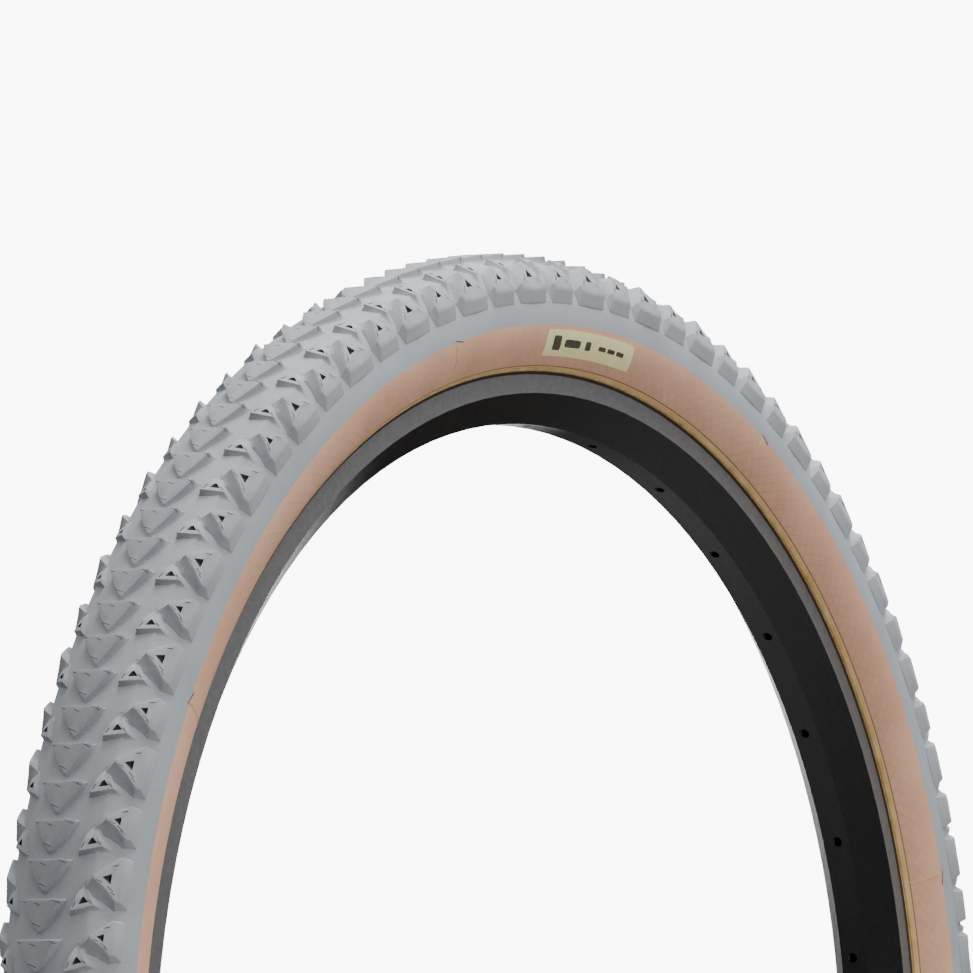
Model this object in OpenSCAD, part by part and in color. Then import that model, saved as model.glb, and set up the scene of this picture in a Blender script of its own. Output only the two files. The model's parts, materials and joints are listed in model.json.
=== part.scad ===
// Bicycle tyre, 56-584 (27.5 x 2.2), mounted and inflated on a bare 32-hole rim.
// Origin at the wheel centre, axle along Y, +Z up. Millimetres.
// "front" is the -Y side, which carries the size label; "back" is the +Y side.
// Angles are measured in the XZ plane from +X towards +Z.

/* [Tyre casing] */
// Bead seat diameter
bead_seat_d = 584; // [400:1:640]
// Width of the inflated casing
tyre_w = 53.8; // [40:0.2:70]
// Thickness of the sidewall rubber
skin_t = 1.0; // [0.6:0.1:2]
// Thickness of one casing ply
ply_t = 0.5; // [0.3:0.05:0.9]
// Diameter of the bead core
core_d = 2.6; // [1.6:0.1:4]
// Gap between a bead and the inside of its flange
bead_gap = 0.4; // [0.1:0.1:1]
// Rubber under the bead, where it sits on the rim
bead_foot_t = 0.6; // [0.3:0.1:1.5]
// Height of the anti-chafe strip above the rim flange
strip_h = 2.2; // [1:0.1:6]
// Width of the puncture belt under the tread
belt_w = 34; // [20:1:44]
// Thickness of the puncture belt
belt_t = 0.5; // [0.3:0.1:1]
// How far the edge of the tread rubber is below the middle of the casing
tread_edge_drop = 1.2; // [0:0.1:6]

/* [Tread] */
// Radius of the tread crown across the tyre
crown_arc_r = 45; // [35:1:80]
// Radius of the tread shoulder across the tyre
shoulder_arc_r = 40; // [30:1:60]
// Number of repeats of the tread pattern
pattern_count = 46; // [30:1:60]
// Angle of the first repeat, in degrees
pattern_phase = 1.9; // [0:0.1:8]
// Height of the centre knobs at their square edge
centre_knob_h = 2.8; // [1.5:0.1:5]
// Height of the centre knobs at the tip of the V
centre_tip_h = 1.3; // [0.5:0.1:3]
// Length of a centre knob around the tyre
centre_knob_l = 12.2; // [6:0.1:14]
// Width of a centre knob across the tyre
centre_knob_w = 18; // [10:0.5:24]
// Width of the tip of the V
centre_tip_w = 1.2; // [0.4:0.1:3]
// Drop of a centre knob's top from its middle to each side
centre_fall = 0.2; // [0:0.1:2]
// Angle from the start of a repeat to the tip of its first centre knob, in degrees
centre_lead = -1.1; // [-7:0.1:7]
// Height of the transition knobs at their square edge
transition_knob_h = 2.3; // [1:0.1:5]
// Length of a transition knob around the tyre
transition_knob_l = 12; // [6:0.5:16]
// Height of a transition knob at the end of its tail
transition_tail_h = 0.2; // [0.1:0.05:1]
// Distance from the centre line to a transition knob's inner corner
transition_in_y = 13.4; // [10:0.1:16]
// Distance from the centre line to the end of its tail
transition_tail_y = 16.9; // [14:0.1:19]
// Distance from the centre line to its outer corner
transition_out_y = 21; // [18:0.1:23]
// Distance around the tyre from the inner corner to the outer corner
transition_skew = 4.2; // [0:0.1:8]
// Angle from the start of a repeat to the first transition knob, in degrees
transition_lead = -2.375; // [-7:0.125:7]
// Height of the shoulder knobs
shoulder_knob_h = 3.5; // [2:0.1:6]
// Length of a large shoulder knob
shoulder_knob_l = 19; // [10:0.5:21]
// Length of a small shoulder knob
shoulder_small_l = 14.8; // [8:0.2:18]
// Width of a shoulder knob across the tyre
shoulder_knob_w = 6.4; // [4:0.1:9]
// How far its outer face stands out beyond the casing
shoulder_overhang = 0.1; // [0:0.1:2]
// Width of the straight ends beside its outer face
shoulder_corner_w = 0.8; // [0.4:0.1:3]
// Width of the inner tip
shoulder_tip_w = 1.8; // [0.6:0.1:4]
// Height of its foot above the edge of the tread rubber
shoulder_foot_h = 9.2; // [5:0.1:14]
// How far its outer face leans in towards the foot
shoulder_lean = 1; // [0:0.1:2]

/* [Rim] */
// Width of the break on the edges of a flange
edge_break = 0.4; // [0.1:0.05:0.7]
// Width between the flanges
rim_inner_w = 30; // [19:0.5:40]
// Thickness of a flange at its top
flange_t = 1.6; // [1.2:0.1:3]
// Height of the flanges above the bead seat
flange_h = 6; // [4.5:0.1:7]
// Extra width of the side wall at its lower edge, each side
side_flare = 0.9; // [0:0.1:3]
// Drop from the bead seat to the lower edge of the side wall
side_drop = 2.4; // [1:0.1:8]
// Depth of the rim from flange top to spoke bed
rim_depth = 21; // [17:0.5:40]
// Width of the flat spoke bed
spoke_bed_w = 13; // [8:0.5:20]
// Thickness of the tyre bed of the box section
rim_wall = 1.5; // [1:0.1:3]
// Thickness of the spoke bed
spoke_bed_t = 1.8; // [1.2:0.1:3]
// Thickness of the side walls of the box section, measured across the wheel
side_wall_t = 2.25; // [1.5:0.05:3.5]
// Depth of the centre channel below the bead seat
channel_depth = 2.5; // [1:0.1:4]
// Width of the bottom of the centre channel
channel_w = 18; // [10:0.5:22]
// Number of spoke holes
spoke_count = 32; // [20:4:36]
// Diameter of a spoke hole
spoke_hole_d = 4.5; // [4:0.1:5]
// Diameter of a nipple access hole in the tyre bed
access_hole_d = 8.5; // [7:0.1:10]
// Sideways stagger of the spoke holes
spoke_stagger = 0.8; // [0:0.1:3]
// Length of the sleeve inside the rim joint
sleeve_l = 36; // [20:1:60]
// Wall thickness of the sleeve
sleeve_wall = 1.5; // [1:0.1:2.5]
// Thickness of the rim tape
tape_t = 0.8; // [0.3:0.1:1.2]

/* [Tube and valve] */
// Gap at each side of the tube's foot in the centre channel
foot_gap = 0.5; // [0.2:0.1:2]
// How far the top of the tube's foot is below the middle of the casing
foot_drop = 15; // [8:1:20]
// Wall thickness of the inner tube
tube_t = 0.9; // [0.6:0.1:1.5]
// Radius of the valve stem
stem_r = 3.0; // [2.6:0.1:3.6]
// Length of the valve stem below the tube
stem_l = 40; // [32:1:80]
// Clearance of the stem in its hole in the rim, on the radius
stem_gap = 0.25; // [0.1:0.05:0.6]
// Thickness of the head that holds the stem in the tube
head_t = 1.2; // [0.8:0.1:2]
// How far the head reaches out beyond the stem
head_reach = 2; // [1:0.1:3]
// Radius of the rubber pad round the stem
patch_r = 7; // [6:0.5:8]
// Radius of the air way through the stem
air_r = 1.6; // [1.2:0.1:1.8]
// Radius of the valve core body
core_r = 2.1; // [1.8:0.1:2.4]
// Length of core standing out of the stem
core_out_l = 3; // [2:0.5:5]
// Depth of the core's seat in the stem
core_seat_l = 12; // [8:1:20]
// Radius of the valve pin
pin_r = 0.8; // [0.6:0.05:1]
// Thickness of the seal on the pin
seal_t = 0.6; // [0.4:0.1:1]
// Clearance of the seal in the air way, on the radius
seal_side_gap = 0.15; // [0.1:0.05:0.3]
// Gap between the closed seal and the core
seal_gap = 0.05; // [0.02:0.01:0.09]
// Thickness of the pin's head
pin_head_t = 0.8; // [0.5:0.1:1.2]
// Length of pin that shows beyond the lock nut
pin_free_l = 1.4; // [0.8:0.1:3]
// Thickness of the lock nut
nut_t = 2.2; // [1.6:0.1:3]
// How much smaller the lock nut is than the core, on the radius
nut_step = 0.2; // [0.1:0.05:0.5]
// Running clearance of moving parts, on the radius
run_gap = 0.05; // [0.02:0.01:0.09]
// Gap that lets the pin be pressed and the lock nut turned down
lock_gap = 2.8; // [2:0.1:4]
// Radius of the rim nut
rim_nut_r = 6; // [5:0.5:8]
// Thickness of the rim nut
rim_nut_t = 4; // [3:0.5:6]
// Width of the step on the rim nut
rim_nut_step = 1; // [0.4:0.1:1.5]
// Gap between the rim nut and the rim
rim_nut_gap = 0.3; // [0.1:0.05:0.6]
// Radius of the dust cap at its open end
cap_r = 4.0; // [3.8:0.1:5]
// Length of the dust cap that covers the stem
cap_grip = 4; // [3:0.5:6]
// Thickness of the dust cap's end
cap_wall = 1.2; // [0.8:0.1:2]
// Room between the pin and the outside of the cap's end
cap_room = 2.4; // [1.6:0.1:4]
// Clearance of the cap round the core, on the radius
cap_core_gap = 0.3; // [0.1:0.05:0.6]
// Length of the narrow end of the cap
cap_tip_l = 3; // [2:0.5:5]
// How much narrower that end is, on the radius
cap_tip_step = 0.8; // [0.4:0.1:1.2]

/* [Size label] */
// Length of the label around the tyre
label_l = 65; // [30:1:90]
// Angle of the middle of the label, in degrees
label_angle = 88; // [0:1:359]
// Height of the label up the sidewall
label_h = 11; // [6:0.5:14]
// Gap between the label and the edge of the tread rubber
label_gap = 2; // [1:0.5:8]
// Thickness of the label
label_t = 0.15; // [0.1:0.05:0.4]

/* [Hidden] */
$fn = 96;
// rim radii
seat_r = bead_seat_d / 2;
flange_r = seat_r + flange_h;
spoke_bed_r = flange_r - rim_depth;
cavity_r = spoke_bed_r + spoke_bed_t;
channel_r = seat_r - channel_depth;
side_r = seat_r - side_drop;
inner_y = rim_inner_w / 2;
flange_y = inner_y + flange_t;
side_y = flange_y + side_flare;
channel_y = channel_w / 2;
// casing section: a circle that is tangent to the bead cores
section_r = tyre_w / 2;
casing_r = section_r - skin_t;
wrap_t = 2 * ply_t;
bead_r = core_d / 2 + wrap_t;
bead_y = inner_y - bead_gap - bead_r;
bead_z = seat_r + bead_foot_t + bead_r;
tangent_z = bead_z + sqrt(pow(casing_r + core_d / 2, 2) - pow(bead_y, 2));
// a wide casing stands higher, so that it clears the top of the flanges
clear_z = flange_r + sqrt(pow(casing_r, 2) - pow(inner_y, 2));
section_z = max(tangent_z, clear_z);
crown_z = section_z + section_r;
tread_edge_r = section_z - tread_edge_drop;
strip_top_r = flange_r + strip_h;
tube_outer_r = casing_r - wrap_t;
// tread base: crown arc and shoulder arcs
crown_arc_z = crown_z - crown_arc_r;
shoulder_arc_y = section_r - shoulder_arc_r;
repeat_deg = 360 / pattern_count;
// knobs, in millimetres around (x), across (y) and up from the axle (z)
outer_limit = crown_z + 2 * centre_knob_h;
knob_root = tread_edge_r + shoulder_foot_h / 2;
shoulder_out_y = section_r + shoulder_overhang;
shoulder_corner_y = shoulder_out_y - shoulder_corner_w;
shoulder_in_y = shoulder_out_y - shoulder_knob_w;
// rim parts
tape_r = channel_r + tape_t;
spoke_step = 360 / spoke_count;
spoke_phase = 90;
valve_angle = 270 + spoke_step / 2;
joint_angle = valve_angle - 180;
valve_hole_r = stem_r + stem_gap;
// tube foot, which fills the channel between the beads
foot_y = channel_y - foot_gap;
foot_top = section_z - foot_drop;
// valve, measured from the axle along the radius
patch_top = tape_r + tube_t;
head_r = stem_r + head_reach;
stem_end = patch_top - stem_l;
core_top = stem_end + core_seat_l;
core_end = stem_end - core_out_l;
seal_r = air_r - seal_side_gap;
nut_r = core_r - nut_step;
nut_top = core_end - lock_gap;
pin_end = nut_top - nut_t - pin_free_l;
cap_inner_r = core_r + cap_core_gap;
cap_mouth = stem_end + cap_grip;
cap_end = pin_end - cap_room;
pin_top = core_top + seal_gap + seal_t + pin_head_t;
// how far a cutting shape runs past the face it opens
past = 1;
rim_nut_top = spoke_bed_r - rim_nut_gap;

// ---------- placing ----------

// Turns a section drawn as x = across the wheel, y = distance from the axle into a ring about Y.
// across = 1 keeps the section on the back side, -1 mirrors it to the front.
module ring(across = 1)
    rotate([90, 0, 0])
        rotate_extrude($fn = 360)
            rotate(-90)
                mirror([across < 0 ? 1 : 0, 0])
                    children();

// The same, over an arc of the wheel centred on an angle.
module ring_arc(middle, degrees, across = 1)
    rotate([0, -middle + degrees / 2, 0])
        rotate([90, 0, 0])
            rotate_extrude(angle = degrees, $fn = 360)
                rotate(-90)
                    mirror([across < 0 ? 1 : 0, 0])
                        children();

// Stands a child, built about +Z with x along the tread and y across it, at an angle of the wheel.
module at_angle(a) rotate([0, 90 - a, 0]) children();

// A round bar along the valve, from one radius of the wheel to another.
module along_valve(low, high, r)
    at_angle(valve_angle) translate([0, 0, low]) cylinder(r = r, h = high - low);

// ---------- sections of the rim ----------

// A half outline and its mirror image, joined into one closed list.
function both_sides(half) = concat(half, [for (i = [len(half) - 1:-1:0]) [-half[i][0], half[i][1]]]);

module rim_outline() {
    half = [
        [spoke_bed_w / 2, spoke_bed_r], [side_y, side_r], [flange_y, flange_r - edge_break],
        [flange_y - edge_break, flange_r], [inner_y + edge_break, flange_r],
        [inner_y, flange_r - edge_break], [inner_y, seat_r], [channel_y + channel_depth, seat_r],
        [channel_y, channel_r]
    ];
    polygon(both_sides(half));
}

// The hollow of the box section, one wall inside the outline.
module rim_cavity() {
    side_in_y = side_y - side_wall_t;
    step_y = channel_y + channel_depth + rim_wall / 2;
    half = [
        [spoke_bed_w / 2, cavity_r], [side_in_y, side_r], [side_in_y, seat_r - rim_wall],
        [step_y, seat_r - rim_wall], [channel_y + rim_wall / 2, channel_r - rim_wall]
    ];
    polygon(both_sides(half));
}

// ---------- sections of the tyre ----------

module section_circle(r) translate([0, section_z]) circle(r);

module bead_circle(r) translate([bead_y, bead_z]) circle(r);

module two_sides() {
    children();
    mirror([1, 0]) children();
}

// One casing ply: an arc from bead to bead, wrapped right round both bead cores.
module ply_section(outer, wrap_in, wrap_out) {
    reach = 3;
    difference() {
        section_circle(outer);
        section_circle(outer - ply_t);
        polygon([
            [0, section_z],
            [bead_y * reach, section_z + (bead_z - section_z) * reach],
            [-bead_y * reach, section_z + (bead_z - section_z) * reach]
        ]);
    }
    two_sides()
        difference() {
            bead_circle(wrap_out);
            bead_circle(wrap_in);
        }
}

module outer_ply_section() ply_section(casing_r, core_d / 2, core_d / 2 + ply_t);

module inner_ply_section()
    difference() {
        ply_section(casing_r - ply_t, core_d / 2 + ply_t, bead_r);
        outer_ply_section();
    }

// Rubber under and beside the bead, which shows as a narrow line above the flange.
module strip_section()
    difference() {
        union() {
            polygon([
                [bead_y, seat_r], [inner_y, seat_r], [inner_y, flange_r - edge_break],
                [inner_y + edge_break, flange_r], [inner_y + edge_break, strip_top_r],
                [bead_y + bead_r, strip_top_r], [bead_y + bead_r, seat_r + bead_foot_t],
                [bead_y, seat_r + bead_foot_t]
            ]);
            intersection() {
                section_circle(section_r);
                translate([bead_y, flange_r])
                    square([section_r, strip_h]);
            }
        }
        section_circle(casing_r);
    }

module sidewall_section()
    intersection() {
        difference() {
            section_circle(section_r);
            section_circle(casing_r);
        }
        translate([0, strip_top_r])
            square([section_r + past, tread_edge_r - strip_top_r]);
    }

module belt_section()
    intersection() {
        difference() {
            section_circle(casing_r + belt_t);
            section_circle(casing_r);
        }
        translate([-belt_w / 2, section_z])
            square([belt_w, 2 * section_r]);
    }

// Everything below the bare tread surface, which the knobs stand on.
module tread_envelope()
    intersection() {
        translate([0, crown_arc_z]) circle(crown_arc_r);
        translate([shoulder_arc_y, tread_edge_r]) circle(shoulder_arc_r);
        translate([-shoulder_arc_y, tread_edge_r]) circle(shoulder_arc_r);
        translate([-section_r - past, tread_edge_r])
            square([2 * section_r + 2 * past, 2 * section_r]);
    }

module tread_base_section()
    difference() {
        tread_envelope();
        section_circle(casing_r);
        belt_section();
    }

module tube_outer_section() {
    section_circle(tube_outer_r);
    translate([-foot_y, tape_r])
        square([2 * foot_y, foot_top - tape_r]);
}

module tube_inner_section() {
    section_circle(tube_outer_r - tube_t);
    translate([-foot_y + tube_t, tape_r + tube_t])
        square([2 * (foot_y - tube_t), foot_top - tape_r - tube_t]);
}

// ---------- the rim and what is fixed to it ----------

module spoke_drillings()
    for (i = [0:spoke_count - 1]) {
        side = i % 2 == 0 ? -1 : 1;
        at_angle(spoke_phase - i * spoke_step)
            translate([0, side * spoke_stagger, 0]) {
                translate([0, 0, spoke_bed_r - past])
                    cylinder(d = spoke_hole_d, h = spoke_bed_t + 2 * past);
                translate([0, 0, channel_r - rim_wall - past])
                    cylinder(d = access_hole_d, h = rim_wall + 2 * past);
            }
    }

module rim()
    color([0.13, 0.13, 0.14])
        difference() {
            ring() difference() {
                rim_outline();
                rim_cavity();
            }
            spoke_drillings();
            along_valve(spoke_bed_r - past, seat_r, valve_hole_r);
        }

module rim_joint_sleeve()
    color([0.7, 0.7, 0.72])
        ring_arc(joint_angle, sleeve_l / seat_r * 180 / PI)
            difference() {
                rim_cavity();
                translate([sleeve_wall - spoke_bed_w / 2, cavity_r + sleeve_wall])
                    square([spoke_bed_w - 2 * sleeve_wall,
                        channel_r - rim_wall - cavity_r - 2 * sleeve_wall]);
            }

module rim_tape()
    color([0.75, 0.2, 0.15])
        difference() {
            ring() translate([-channel_y, channel_r]) square([channel_w, tape_t]);
            along_valve(channel_r - past, tape_r + past, valve_hole_r);
        }

// ---------- the inner tube and its valve ----------

module inner_tube()
    color([0.1, 0.1, 0.1])
        difference() {
            ring() difference() {
                tube_outer_section();
                tube_inner_section();
            }
            along_valve(tape_r - past, patch_top + past, patch_r);
        }

// The tube's wall is closed round the stem by a moulded pad.
module valve_patch()
    color([0.2, 0.2, 0.2])
        difference() {
            intersection() {
                ring() difference() {
                    tube_outer_section();
                    tube_inner_section();
                }
                along_valve(tape_r - past, patch_top + past, patch_r);
            }
            along_valve(tape_r - 2 * past, patch_top + 2 * past, stem_r);
        }

module valve_stem()
    color([0.8, 0.7, 0.4])
        difference() {
            union() {
                along_valve(stem_end, patch_top + head_t, stem_r);
                along_valve(patch_top, patch_top + head_t, head_r);
            }
            along_valve(core_top - past, patch_top + head_t + past, air_r);
            along_valve(stem_end - past, core_top, core_r);
        }

module rim_nut()
    color([0.75, 0.75, 0.78])
        difference() {
            union() {
                along_valve(rim_nut_top - rim_nut_t, rim_nut_top, rim_nut_r - rim_nut_step);
                along_valve(rim_nut_top - rim_nut_t / 2, rim_nut_top, rim_nut_r);
            }
            along_valve(rim_nut_top - rim_nut_t - past, rim_nut_top + past, stem_r + run_gap);
        }

module valve_core()
    color([0.82, 0.74, 0.45])
        difference() {
            along_valve(core_end, core_top, core_r);
            along_valve(core_end - past, core_top + past, pin_r + run_gap);
        }

module valve_pin()
    color([0.85, 0.78, 0.5]) {
        along_valve(pin_end, pin_top - pin_head_t, pin_r);
        along_valve(pin_top - pin_head_t, pin_top, seal_r);
    }

module valve_seal()
    color([0.1, 0.1, 0.1])
        difference() {
            along_valve(core_top + seal_gap, core_top + seal_gap + seal_t, seal_r);
            along_valve(core_top, pin_top, pin_r);
        }

module lock_nut()
    color([0.8, 0.72, 0.42])
        difference() {
            along_valve(nut_top - nut_t, nut_top, nut_r);
            along_valve(nut_top - nut_t - past, nut_top + past, pin_r + run_gap);
        }

module dust_cap()
    color([0.08, 0.08, 0.08])
        difference() {
            union() {
                along_valve(cap_end + cap_tip_l, cap_mouth, cap_r);
                along_valve(cap_end, cap_end + cap_tip_l, cap_r - cap_tip_step);
            }
            along_valve(cap_end + cap_wall, cap_mouth + past, cap_inner_r);
            along_valve(stem_end - cap_core_gap, cap_mouth + past, stem_r + run_gap);
        }

// ---------- the tyre ----------

module bead_core(across)
    color([0.8, 0.7, 0.3])
        ring(across) bead_circle(core_d / 2);

module casing_ply_inner()
    color([0.75, 0.62, 0.5])
        ring() inner_ply_section();

module casing_ply_outer()
    color([0.78, 0.65, 0.52])
        ring() outer_ply_section();

module bead_strip(across)
    color([0.78, 0.62, 0.35])
        ring(across) strip_section();

module sidewall(across)
    color([0.74, 0.58, 0.48])
        ring(across) sidewall_section();

module breaker_belt()
    color([0.85, 0.83, 0.75])
        ring() belt_section();

module tread_base()
    color([0.62, 0.64, 0.67])
        ring() tread_base_section();

// ---------- the knobs ----------

// Sets a knob at each given angle of every repeat of the pattern.
module around(angles)
    for (i = [0:pattern_count - 1], a = angles)
        at_angle(pattern_phase + i * repeat_deg - a) children();

// Keeps what stands above the bare tread surface.
module above_tread()
    difference() {
        children();
        ring() tread_envelope();
    }

// A plan outline (x around, y across) raised along the radius.
module plan(points)
    translate([0, 0, knob_root]) linear_extrude(outer_limit - knob_root) polygon(points);

// A side outline (x around, z along the radius) carried across the tyre.
module side_view(points, width)
    translate([0, width / 2, 0]) rotate([90, 0, 0]) linear_extrude(width) polygon(points);

// An end outline (y across, z along the radius) carried around the tyre.
module end_view(points, length)
    translate([-length / 2, 0, 0]) rotate([90, 0, 90]) linear_extrude(length) polygon(points);

// Delta-shaped knob: low at the tip of the V, square at the far edge.
module centre_knob() {
    l = centre_knob_l / 2;
    w = centre_knob_w / 2;
    tip_y = centre_tip_w / 2;
    intersection() {
        plan([[-l, -tip_y], [l, -w], [l, w], [-l, tip_y]]);
        side_view([
            [-l - past, knob_root], [l + past, knob_root],
            [l + past, crown_z + centre_knob_h], [-l - past, crown_z + centre_tip_h]
        ], centre_knob_w + 2 * past);
        end_view([
            [-w - past, knob_root], [w + past, knob_root],
            [w + past, crown_z + centre_knob_h - centre_fall], [0, crown_z + centre_knob_h],
            [-w - past, crown_z + centre_knob_h - centre_fall]
        ], centre_knob_l + 2 * past);
    }
}

// Height of the bare tread at a distance across the tyre.
function crown_at(y) = crown_arc_z + sqrt(pow(crown_arc_r, 2) - pow(y, 2));

// Triangular ramp: square at the edge that faces back, falling to a tail.
module transition_knob() {
    top = crown_at(transition_in_y) + transition_knob_h;
    low = crown_at(transition_tail_y) + transition_tail_h;
    slope = (crown_at(transition_in_y) - crown_at(transition_out_y)) /
        (transition_out_y - transition_in_y);
    intersection() {
        plan([[0, transition_in_y], [transition_knob_l, transition_tail_y],
            [transition_skew, transition_out_y]]);
        side_view([
            [-past, knob_root], [transition_knob_l + past, knob_root],
            [transition_knob_l + past, low], [-past, top]
        ], 3 * transition_out_y);
        end_view([
            [transition_in_y - past, knob_root], [transition_out_y + past, knob_root],
            [transition_out_y + past, top - slope * (transition_out_y + past - transition_in_y)],
            [transition_in_y - past, top + slope * past]
        ], 3 * transition_knob_l);
    }
}

// Triangular block that runs over the shoulder and down its side.
module shoulder_knob(length) {
    l = length / 2;
    tip_x = shoulder_tip_w / 2;
    foot_r = tread_edge_r + shoulder_foot_h;
    outer_top = tread_edge_r +
        sqrt(pow(shoulder_arc_r + shoulder_knob_h, 2) - pow(shoulder_out_y - shoulder_arc_y, 2));
    inner_top = tread_edge_r +
        sqrt(pow(shoulder_arc_r + shoulder_knob_h, 2) - pow(shoulder_in_y - shoulder_arc_y, 2));
    intersection() {
        plan([[-tip_x, shoulder_in_y], [tip_x, shoulder_in_y], [l, shoulder_corner_y],
            [l, shoulder_out_y + past], [-l, shoulder_out_y + past], [-l, shoulder_corner_y]]);
        end_view([
            [shoulder_in_y, foot_r], [shoulder_out_y - shoulder_lean, foot_r], [shoulder_out_y, outer_top],
            [shoulder_in_y, inner_top]
        ], length + 2 * past);
    }
}

module centre_knobs()
    color([0.64, 0.66, 0.69])
        above_tread()
            around([centre_lead, centre_lead + repeat_deg / 3, centre_lead + 2 * repeat_deg / 3])
                translate([centre_knob_l / 2, 0, 0]) centre_knob();

module transition_knobs(across)
    color([0.63, 0.65, 0.68])
        above_tread()
            around([transition_lead, transition_lead + repeat_deg / 2])
                mirror([0, across < 0 ? 1 : 0, 0]) transition_knob();

module shoulder_knobs(across)
    color([0.62, 0.64, 0.67])
        above_tread() {
            around([0]) mirror([0, across < 0 ? 1 : 0, 0]) shoulder_knob(shoulder_knob_l);
            around([repeat_deg / 2]) mirror([0, across < 0 ? 1 : 0, 0]) shoulder_knob(shoulder_small_l);
        }

// ---------- the label ----------

module size_label()
    color([0.85, 0.83, 0.6])
        ring_arc(label_angle, label_l / seat_r * 180 / PI, -1)
            intersection() {
                difference() {
                    section_circle(section_r + label_t);
                    section_circle(section_r);
                }
                translate([0, tread_edge_r - label_gap - label_h]) square([2 * section_r, label_h]);
            }

// ---------- the part ----------

rim();
rim_joint_sleeve();
rim_tape();
inner_tube();
valve_patch();
valve_stem();
rim_nut();
valve_core();
valve_pin();
valve_seal();
lock_nut();
dust_cap();
bead_core(-1);  // bead_core_front
bead_core(1);  // bead_core_back
casing_ply_inner();
casing_ply_outer();
bead_strip(-1);  // bead_strip_front
bead_strip(1);  // bead_strip_back
sidewall(-1);  // sidewall_front
sidewall(1);  // sidewall_back
breaker_belt();
tread_base();
centre_knobs();
transition_knobs(-1);  // transition_knobs_front
transition_knobs(1);  // transition_knobs_back
shoulder_knobs(-1);  // shoulder_knobs_front
shoulder_knobs(1);  // shoulder_knobs_back
size_label();
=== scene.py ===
import json
import math

import bpy
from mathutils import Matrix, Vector

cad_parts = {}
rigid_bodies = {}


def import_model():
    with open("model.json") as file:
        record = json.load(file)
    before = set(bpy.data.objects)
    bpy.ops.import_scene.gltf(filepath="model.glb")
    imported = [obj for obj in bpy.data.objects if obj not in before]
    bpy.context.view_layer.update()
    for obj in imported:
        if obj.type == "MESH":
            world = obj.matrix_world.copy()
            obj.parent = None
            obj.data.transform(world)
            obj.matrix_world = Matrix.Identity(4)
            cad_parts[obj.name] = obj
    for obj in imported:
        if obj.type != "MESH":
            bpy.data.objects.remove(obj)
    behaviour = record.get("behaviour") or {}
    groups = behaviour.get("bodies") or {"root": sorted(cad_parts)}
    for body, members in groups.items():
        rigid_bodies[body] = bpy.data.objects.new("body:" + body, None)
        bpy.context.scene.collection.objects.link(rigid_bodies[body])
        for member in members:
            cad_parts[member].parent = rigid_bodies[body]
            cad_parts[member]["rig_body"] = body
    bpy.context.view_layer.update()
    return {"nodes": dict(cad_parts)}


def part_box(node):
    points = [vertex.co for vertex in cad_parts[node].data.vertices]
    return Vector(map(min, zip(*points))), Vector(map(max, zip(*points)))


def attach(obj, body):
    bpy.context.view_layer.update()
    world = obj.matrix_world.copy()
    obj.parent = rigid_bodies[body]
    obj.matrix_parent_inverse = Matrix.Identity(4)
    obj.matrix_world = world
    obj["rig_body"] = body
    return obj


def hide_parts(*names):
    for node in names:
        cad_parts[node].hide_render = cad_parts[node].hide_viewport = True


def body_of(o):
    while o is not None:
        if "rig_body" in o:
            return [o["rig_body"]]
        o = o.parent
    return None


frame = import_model()

# ---------- sizes, in metres, from the frame ----------

MM = 0.001
CROWN_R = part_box("tread_base")[1].z
TREAD_OUT_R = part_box("centre_knobs")[1].z
HALF_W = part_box("sidewall_back")[1].y
SEAT_R = 0.292
FLANGE_R = SEAT_R + 6 * MM
SPOKE_BED_R = 0.277
CROWN_ARC = 45 * MM
SHOULDER_ARC = 40 * MM
SHOULDER_ARC_Y = HALF_W - SHOULDER_ARC
CASING_R = HALF_W - 1 * MM
SECTION_Z = CROWN_R - HALF_W
EDGE_R = SECTION_Z - 1.2 * MM
STRIP_TOP_R = FLANGE_R + 2.2 * MM
REPEATS = 46
REPEAT = 2 * math.pi / REPEATS
PHASE = math.radians(1.9)
RING_STEPS = 720
SEAMS = 8
SEAM_PHASE = math.radians(17)

# The valve, measured along the radius of the wheel that it stands on.
VALVE_ANGLE = math.radians(270 + 360 / 32 / 2)
PAD_TOP_R = SEAT_R - 0.8 * MM
STEM_END_R = PAD_TOP_R - 40 * MM
CORE_TOP_R = STEM_END_R + 12 * MM
CORE_END_R = STEM_END_R - 3 * MM
LOCK_TOP_R = CORE_END_R - 2.8 * MM
LOCK_END_R = LOCK_TOP_R - 2.2 * MM
PIN_END_R = LOCK_END_R - 1.4 * MM
PIN_TOP_R = CORE_TOP_R + 1.45 * MM
CAP_END_R = PIN_END_R - 2.4 * MM
CAP_MOUTH_R = STEM_END_R + 4 * MM
RIM_NUT_TOP_R = SPOKE_BED_R - 0.3 * MM
STEM_RADIUS = 3.0 * MM
CORE_RADIUS = 2.1 * MM
PIN_RADIUS = 0.8 * MM
RUN_GAP = 0.05 * MM

# The camera stands about level with the wheel's middle, on the labelled side, and looks up a little.
CAMERA_AT = Vector((-2.686, -1.749, 0.030))
AZIMUTH = math.radians(-56.64)
ELEVATION = math.radians(-3.95)
VIEW_BACK = Vector((
    math.sin(AZIMUTH) * math.cos(ELEVATION), -math.cos(AZIMUTH) * math.cos(ELEVATION), math.sin(ELEVATION)))
LENS = 281.3
BACKDROP_DISTANCE = 7.5


def crown_z(y):
    """Radius of the bare tread at a distance y across the tyre."""
    crown = CROWN_R - CROWN_ARC + math.sqrt(CROWN_ARC ** 2 - y ** 2)
    reach = abs(y) - SHOULDER_ARC_Y
    side = EDGE_R + math.sqrt(max(SHOULDER_ARC ** 2 - reach ** 2, 0))
    return min(crown, side)


# ---------- meshes ----------

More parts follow.
